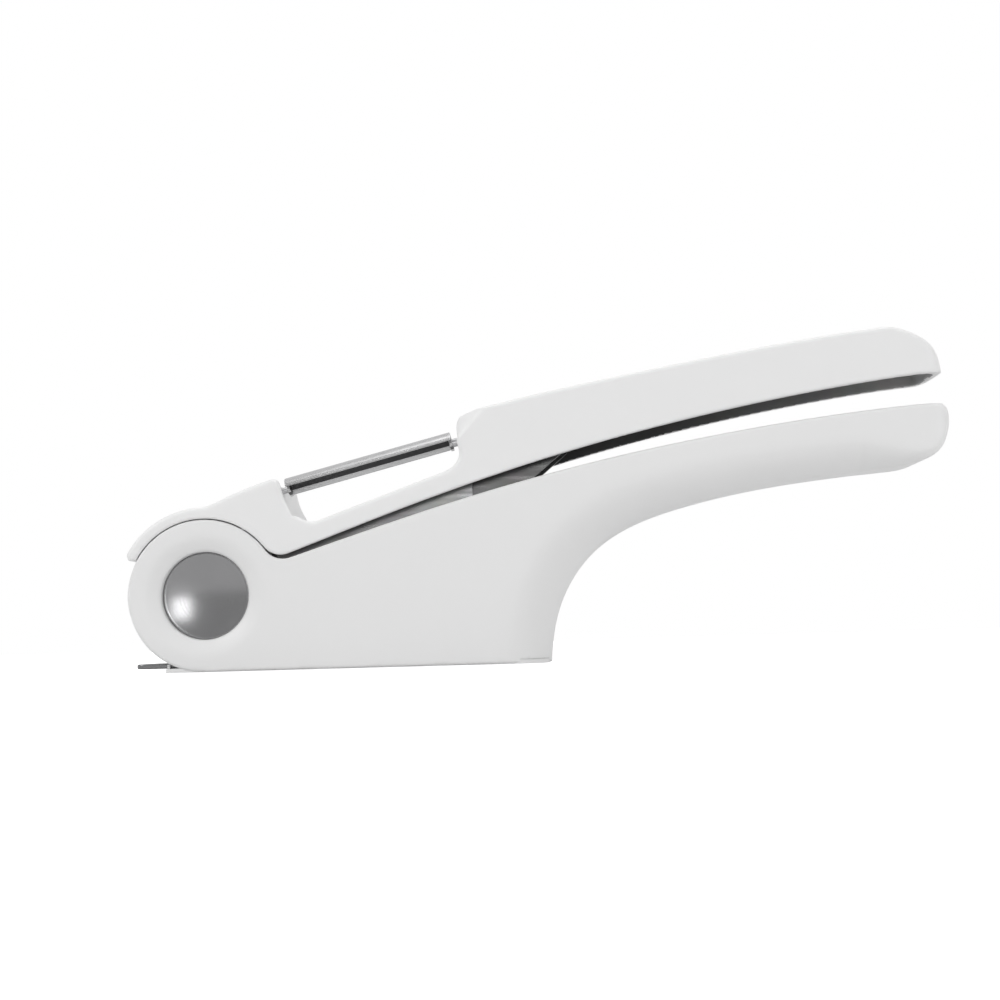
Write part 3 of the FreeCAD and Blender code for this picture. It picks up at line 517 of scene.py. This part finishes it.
def blade_field(x, y, z):
    """The blade in its own axes: X along it, its arc's centre on the axis."""
    middle = (BLADE_FIRST + BLADE_LAST) / 2
    half_long = (BLADE_LAST - BLADE_FIRST) / 2
    reach, radius = np.abs(x - middle) - half_long, np.hypot(y, z)
    ring = np.abs(radius - BLADE_R + BLADE_THICK / 2) - BLADE_THICK / 2
    edge = (np.arctan2(np.abs(y), z) - BLADE_SPAN) * BLADE_R
    shell = both(ring, np.maximum(edge, reach), BLADE_EDGE_R)
    # the slot opens inwards, so that its far side is a cutting edge
    bevel = (BLADE_R - radius) * SLOT_BEVEL
    slot = np.maximum(np.abs(y - SLOT_OFF) - SLOT_HALF + SLOT_TRIM - bevel, reach + SLOT_END)
    shell = without(shell, np.maximum(slot, -z), SLOT_EDGE_R)
    # a web at each end holds a swivel pin
    web = np.maximum(np.abs(y) - WEB_HALF, BLADE_SINK - WEB_DROP - z)
    web = np.maximum(radius - BLADE_R + WEB_IN, web)
    web = np.maximum(web, np.abs(reach + BLADE_THICK / 2) - BLADE_THICK / 2)
    return np.minimum(shell, web)


def painted_shade_in_blade(x, y, z):
    """Painted shade on the hollow side of the blade, down to the bright bevel along its far edge."""
    radius, angle = np.hypot(y, z), np.degrees(np.arctan2(np.abs(y), z))
    return (radius < BLADE_R - BLADE_THICK + HOLLOW_DEEP) & (angle < HOLLOW_ANGLE)


def blade_place(points):
    """Turn the blade about its axis, tilt it to the axis's slope and put it in the window."""
    x, y, z = (points - np.array([[0, 0, BLADE_SINK]])).T
    c, s = math.cos(-BLADE_TURN), math.sin(-BLADE_TURN)
    y, z = c * y - s * z, s * y + c * z
    c, s = math.cos(PEEL_SLOPE), math.sin(PEEL_SLOPE)
    axis = np.array([[PEEL_FRONT[0], 0, PEEL_FRONT[1]]])
    return np.array([c * x - s * z, y, s * x + c * z]).T + axis


# ---- hub caps ----
CAP_RECESS, CAP_DISH, CAP_THICK, CAP_EDGE = 3.6, 1.2, 0.8, 0.3
CAP_ROUND = [(0.08, 0.06), (0, 0.25)]
CAP_RINGS, CAP_SIDES = 20, 128


def make_cap(name, side):
    """Dished cap with a rounded rim and a skirt that presses into the bore."""
    rim = HUB_HALF - CAP_RECESS
    edge = BORE_R - CAP_EDGE
    dish = [i / CAP_RINGS for i in range(1, CAP_RINGS + 1)]
    profile = [(edge * i / CAP_RINGS, rim - CAP_DISH * (1 - share ** 2))
               for i, share in enumerate(dish, 1)]
    profile += [(BORE_R - inset, rim - drop) for inset, drop in CAP_ROUND]
    skirt = rim - CAP_THICK - CAP_DISH
    profile += [(BORE_R, skirt), (BORE_R - CAP_THICK, skirt)]
    profile += [(r, y - CAP_THICK) for r, y in profile[CAP_RINGS - 3::-3]]
    points = [(0, side * (rim - CAP_DISH), 0), (0, side * (rim - CAP_DISH - CAP_THICK), 0)]
    for r, y in profile:
        points += [(r * math.cos(a), side * y, r * math.sin(a))
                   for a in np.arange(CAP_SIDES) * 2 * math.pi / CAP_SIDES]
    faces = []
    last = 2 + (len(profile) - 1) * CAP_SIDES
    for i in range(CAP_SIDES):
        j = (i + 1) % CAP_SIDES
        faces += [(0, 2 + j, 2 + i), (1, last + i, last + j)]
        for k in range(len(profile) - 1):
            a = 2 + k * CAP_SIDES
            faces.append((a + i, a + j, a + CAP_SIDES + j, a + CAP_SIDES + i))
    if side > 0:
        faces = [f[::-1] for f in faces]
    return smooth_object(name, points, faces)


# ---- materials ----
def new_material(name):
    material = bpy.data.materials.new(name)
    material.use_nodes = True
    nodes, links = material.node_tree.nodes, material.node_tree.links
    return material, nodes, links, nodes["Principled BSDF"]


def object_noise(nodes, links, scale, detail, stretch=(1, 1, 1)):
    place = nodes.new("ShaderNodeTexCoord")
    mapping = nodes.new("ShaderNodeMapping")
    mapping.inputs["Scale"].default_value = stretch
    noise = nodes.new("ShaderNodeTexNoise")
    noise.inputs["Scale"].default_value = scale
    noise.inputs["Detail"].default_value = detail
    links.new(place.outputs["Object"], mapping.inputs["Vector"])
    links.new(mapping.outputs["Vector"], noise.inputs["Vector"])
    return noise


def spread(nodes, links, source, low, high):
    """Noise spread over low to high: it seldom leaves the middle of its own range."""
    out = nodes.new("ShaderNodeMapRange")
    out.inputs["From Min"].default_value = 0.3
    out.inputs["From Max"].default_value = 0.7
    out.inputs["To Min"].default_value = low
    out.inputs["To Max"].default_value = high
    links.new(source, out.inputs["Value"])
    return out.outputs["Result"]


def tint(nodes, links, source, dark, light):
    ramp = nodes.new("ShaderNodeMix")
    ramp.data_type = "RGBA"
    ramp.inputs["A"].default_value = (*dark, 1)
    ramp.inputs["B"].default_value = (*light, 1)
    links.new(source, ramp.inputs["Factor"])
    return ramp.outputs["Result"]


def bump(nodes, links, shader, source, strength, distance):
    node = nodes.new("ShaderNodeBump")
    node.inputs["Strength"].default_value = strength
    node.inputs["Distance"].default_value = distance
    links.new(source, node.inputs["Height"])
    links.new(node.outputs["Normal"], shader.inputs["Normal"])


def plastic(name, tone, roughness=0.42):
    """Moulded plastic: a faint cloudiness, a very fine spark-eroded grain."""
    material, nodes, links, shader = new_material(name)
    cloud = object_noise(nodes, links, 45, 2)
    dark = tuple(c * 0.985 for c in tone)
    links.new(tint(nodes, links, cloud.outputs["Fac"], dark, tone), shader.inputs["Base Color"])
    grain = object_noise(nodes, links, 2600, 2)
    links.new(spread(nodes, links, grain.outputs["Fac"], roughness - 0.04, roughness + 0.04),
              shader.inputs["Roughness"])
    bump(nodes, links, shader, grain.outputs["Fac"], 0.12, 0.00002)
    shader.inputs["IOR"].default_value = 1.46
    return material


def metal(name, tone, roughness, stretch, scale=900, depth=0.35):
    """Satin metal with fine lines along one direction."""
    material, nodes, links, shader = new_material(name)
    shader.inputs["Metallic"].default_value = 1
    lines = object_noise(nodes, links, scale, 6, stretch)
    cloud = object_noise(nodes, links, 120, 3)
    dark = tuple(c * 0.88 for c in tone)
    links.new(tint(nodes, links, cloud.outputs["Fac"], dark, tone), shader.inputs["Base Color"])
    links.new(spread(nodes, links, lines.outputs["Fac"], roughness - 0.06, roughness + 0.08),
              shader.inputs["Roughness"])
    bump(nodes, links, shader, lines.outputs["Fac"], depth, 0.00002)
    return material


def spun_metal(name, tone, roughness):
    """Dished steel with faint rings about the hinge."""
    material, nodes, links, shader = new_material(name)
    shader.inputs["Metallic"].default_value = 1
    place = nodes.new("ShaderNodeTexCoord")
    centre = nodes.new("ShaderNodeMapping")
    centre.inputs["Location"].default_value = tuple(-PIVOT)
    links.new(place.outputs["Object"], centre.inputs["Vector"])
    flat = nodes.new("ShaderNodeVectorMath")
    flat.operation = "MULTIPLY"
    flat.inputs[1].default_value = (1, 0, 1)
    links.new(centre.outputs["Vector"], flat.inputs[0])
    length = nodes.new("ShaderNodeVectorMath")
    length.operation = "LENGTH"
    links.new(flat.outputs["Vector"], length.inputs[0])
    rings = nodes.new("ShaderNodeTexNoise")
    rings.noise_dimensions = "1D"
    rings.inputs["Scale"].default_value = 2400
    rings.inputs["Detail"].default_value = 4
    links.new(length.outputs["Value"], rings.inputs["W"])
    cloud = object_noise(nodes, links, 160, 3)
    dark = tuple(c * 0.9 for c in tone)
    links.new(tint(nodes, links, cloud.outputs["Fac"], dark, tone), shader.inputs["Base Color"])
    links.new(spread(nodes, links, rings.outputs["Fac"], roughness - 0.02, roughness + 0.02),
              shader.inputs["Roughness"])
    bump(nodes, links, shader, rings.outputs["Fac"], 0.008, 0.00001)
    return material


def shade_along(material, axis, reach, first, last):
    """Painted shade: grey that changes along one of the drawing axes, from first to last between two
    places.
    """
    nodes, links = material.node_tree.nodes, material.node_tree.links
    shader = nodes["Principled BSDF"]
    place = nodes.new("ShaderNodeTexCoord")
    split = nodes.new("ShaderNodeSeparateXYZ")
    ramp = nodes.new("ShaderNodeMapRange")
    start = PIVOT["XYZ".index(axis)]
    ramp.inputs["From Min"].default_value = start + reach[0] * MM
    ramp.inputs["From Max"].default_value = start + reach[1] * MM
    links.new(place.outputs["Object"], split.inputs["Vector"])
    links.new(split.outputs[axis], ramp.inputs["Value"])
    grey = tint(nodes, links, ramp.outputs["Result"], (first,) * 3, (last,) * 3)
    cloud = nodes.new("ShaderNodeMix")
    cloud.data_type, cloud.blend_type = "RGBA", "MULTIPLY"
    cloud.inputs["Factor"].default_value = 0.15
    links.new(grey, cloud.inputs["A"])
    links.new(object_noise(nodes, links, 120, 3).outputs["Color"], cloud.inputs["B"])
    links.new(cloud.outputs["Result"], shader.inputs["Base Color"])


WHITE = plastic("white_body", (0.80, 0.80, 0.80))
LEVER_WHITE = plastic("white_lever", (0.82, 0.82, 0.82))
BUSH = plastic("acetal_bush", (0.72, 0.72, 0.70), 0.3)
SHEET_PAINTED_SHADE = metal("pressed_steel_painted_shade", (0.22, 0.22, 0.225), 0.3, (0.06, 1, 1), depth=0.1)
SIEVE = metal("sieve_steel", (0.28, 0.28, 0.285), 0.27, (0.06, 1, 1))
BLADE = metal("ground_blade", (0.60, 0.60, 0.605), 0.26, (0.06, 1, 1), 1600, 0.015)
# painted shade: the blade's hollow side is coloured near black for the shade inside its curve
BLADE_PAINTED_SHADE = metal("blade_painted_shade", (0.07, 0.07, 0.072), 0.4, (0.06, 1, 1), 1600, 0.05)
# painted shade: the lever's inner faces are coloured dark grey, lighter towards the tip, for the shade
# inside the open grip
LEVER_PAINTED_SHADE = plastic("lever_painted_shade", (0.3, 0.3, 0.3), 0.5)
shade_along(LEVER_PAINTED_SHADE, "X", (110, 176), 0.13, 0.42)
# painted shade: steel lying nearer the middle across is coloured darker than the arm's outer plates, for
# the shade on its stepped-in part
shade_along(SHEET_PAINTED_SHADE, "Y", (-8.8, -8.0), 0.26, 0.12)
PIN = metal("drawn_pin", (0.62, 0.62, 0.63), 0.25, (0.1, 1, 1), 1500, 0.2)
CAST = metal("tumbled_aluminium", (0.68, 0.68, 0.69), 0.42, (1, 1, 1), 700, 0.5)
CAP = spun_metal("dished_cap", (0.33, 0.33, 0.335), 0.2)

finish_of = {
    "lower_handle_cover": WHITE, "base_frame": WHITE, "lower_body": WHITE, "upper_handle": LEVER_WHITE,
    "frame_screws": PIN, "press_chamber": SHEET_PAINTED_SHADE, "pivot_axle": PIN, "pivot_cap_near": CAP,
    "pivot_cap_far": CAP, "axle_bush_near": BUSH, "axle_bush_far": BUSH, "sieve_plate": SIEVE,
    "press_arm": SHEET_PAINTED_SHADE, "press_foot": CAST, "foot_rivets": PIN, "arm_screws": PIN, "peeler_blade": BLADE,
    "peeler_pin_front": PIN, "peeler_pin_rear": PIN, "peeler_bush_front": BUSH, "peeler_bush_rear": BUSH,
}


def finish_piece(thing, *materials):
    for material in materials:
        thing.data.materials.append(material)


for node, material in finish_of.items():
    for slot in frame["nodes"][node].material_slots:
        slot.material = material

BODY_BOX = (-20, -17.5, -19.5), (182.5, 17.5, 43.5)
LEVER_BOX = (-20, -17.5, 5.5), (181.5, 17.5, 62)
BLADE_BOX = (0.4, -5.2, 0.4), (44, 5.2, 5.4)

body_shell = piece("body_shell", lower_body_field(), BODY_BOX, GRID, all_outside)
finish_piece(body_shell, WHITE)
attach(body_shell, "press_body")
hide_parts("lower_body")

lever_shell = piece("lever_shell", lever_field(), LEVER_BOX, GRID, painted_shade_under_lever_roof())
# the second material paints shade on the lever's inner faces
finish_piece(lever_shell, LEVER_WHITE, LEVER_PAINTED_SHADE)
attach(lever_shell, "lever")
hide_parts("upper_handle")

blade = piece("swivel_blade", blade_field, BLADE_BOX, BLADE_GRID, painted_shade_in_blade, blade_place)
# the second material paints shade on the blade's hollow side
finish_piece(blade, BLADE, BLADE_PAINTED_SHADE)
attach(blade, "peeler")
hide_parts("peeler_blade")

for name, node, side in (("hub_cap_near", "pivot_cap_near", -1), ("hub_cap_far", "pivot_cap_far", 1)):
    cap = make_cap(name, side)
    finish_piece(cap, CAP)
    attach(cap, "press_body")
    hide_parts(node)


# ---- floor, light and camera ----
WORLD_FRONT, WORLD_BACK = 0.5, 0.8
FLOOR_HALF, FLOOR_DROP = 6.0, 0.0002
FLOOR_GREY, FLOOR_GLOW = 0.75, 0.9


def backdrop_white(nodes, links, kind, lit, level):
    """White for camera rays only: a shader of that kind, mixed with what the other rays meet."""
    path = nodes.new("ShaderNodeLightPath")
    white = nodes.new(kind)
    white.inputs["Color"].default_value = (1, 1, 1, 1)
    white.inputs["Strength"].default_value = level
    mix = nodes.new("ShaderNodeMixShader")
    links.new(path.outputs["Is Camera Ray"], mix.inputs["Fac"])
    links.new(lit, mix.inputs[1])
    return white, mix


def make_floor():
    """Pale floor that lights the object from below and glows white to the camera."""
    mesh = bpy.data.meshes.new("floor")
    corners = [(-FLOOR_HALF, -FLOOR_HALF, 0), (FLOOR_HALF, -FLOOR_HALF, 0),
               (FLOOR_HALF, FLOOR_HALF, 0), (-FLOOR_HALF, FLOOR_HALF, 0)]
    mesh.from_pydata(corners, [], [(0, 1, 2, 3)])
    floor = bpy.data.objects.new("floor", mesh)
    floor.location.z = -FLOOR_DROP
    bpy.context.collection.objects.link(floor)
    material, nodes, links, shader = new_material("pale_floor")
    cloud = object_noise(nodes, links, 6, 2)
    grey = tint(nodes, links, cloud.outputs["Fac"], (FLOOR_GREY - 0.01,) * 3, (FLOOR_GREY,) * 3)
    links.new(grey, shader.inputs["Base Color"])
    shader.inputs["Roughness"].default_value = 0.9
    shader.inputs["Specular IOR Level"].default_value = 0.1
    white, mix = backdrop_white(nodes, links, "ShaderNodeEmission", shader.outputs["BSDF"], FLOOR_GLOW)
    glow = nodes.new("ShaderNodeAddShader")
    links.new(shader.outputs["BSDF"], glow.inputs[0])
    links.new(white.outputs[0], glow.inputs[1])
    links.new(glow.outputs["Shader"], mix.inputs[2])
    links.new(mix.outputs["Shader"], nodes["Material Output"].inputs["Surface"])
    mesh.materials.append(material)


def softbox(name, place, target, size, power):
    """Rectangular light at place that faces target."""
    light = bpy.data.lights.new(name, "AREA")
    light.shape = "RECTANGLE"
    light.size, light.size_y = size
    light.energy = power
    thing = bpy.data.objects.new(name, light)
    thing.location = place
    thing.rotation_euler = (Vector(target) - Vector(place)).to_track_quat("-Z", "Y").to_euler()
    bpy.context.collection.objects.link(thing)


def make_world():
    """Dim in front of the object, bright behind it, and white to the camera."""
    world = bpy.data.worlds.new("studio")
    bpy.context.scene.world = world
    world.use_nodes = True
    nodes, links = world.node_tree.nodes, world.node_tree.links
    place = nodes.new("ShaderNodeTexCoord")
    split = nodes.new("ShaderNodeSeparateXYZ")
    ramp = nodes.new("ShaderNodeMapRange")
    ramp.inputs["From Min"].default_value = -0.2
    ramp.inputs["From Max"].default_value = 0.4
    ramp.inputs["To Min"].default_value = WORLD_FRONT
    ramp.inputs["To Max"].default_value = WORLD_BACK
    links.new(place.outputs["Generated"], split.inputs["Vector"])
    links.new(split.outputs["Y"], ramp.inputs["Value"])
    lit = nodes["Background"]
    lit.inputs["Color"].default_value = (1, 1, 1, 1)
    links.new(ramp.outputs["Result"], lit.inputs["Strength"])
    white, mix = backdrop_white(nodes, links, "ShaderNodeBackground", lit.outputs["Background"], 1)
    links.new(white.outputs[0], mix.inputs[2])
    links.new(mix.outputs["Shader"], nodes["World Output"].inputs["Surface"])


make_floor()
make_world()
middle = (0, 0, 0.035)
softbox("key", (-1.2, -0.9, 1.1), middle, (0.8, 0.8), 10.2)
softbox("top", (0.1, 0.1, 1.4), middle, (1.0, 1.0), 4)
softbox("fill", (1.2, -0.7, 0.5), middle, (0.8, 0.8), 4.5)
softbox("front", (0.0, -1.2, 0.2), (-0.06, 0, 0.02), (0.22, 0.26), 0.75)

camera_data = bpy.data.cameras.new("camera")
camera_data.lens = 60
camera_data.sensor_width = 36
camera_data.clip_start = 0.01
camera = bpy.data.objects.new("camera", camera_data)
camera.location = PIVOT + np.array([0.07712, -0.41033, -0.01259])
camera.rotation_euler = Euler([math.radians(a) for a in (94.8293, 1.5445, 1.028)], "XYZ")
bpy.context.collection.objects.link(camera)
bpy.context.scene.camera = camera
bpy.context.scene.view_settings.view_transform = "Standard"
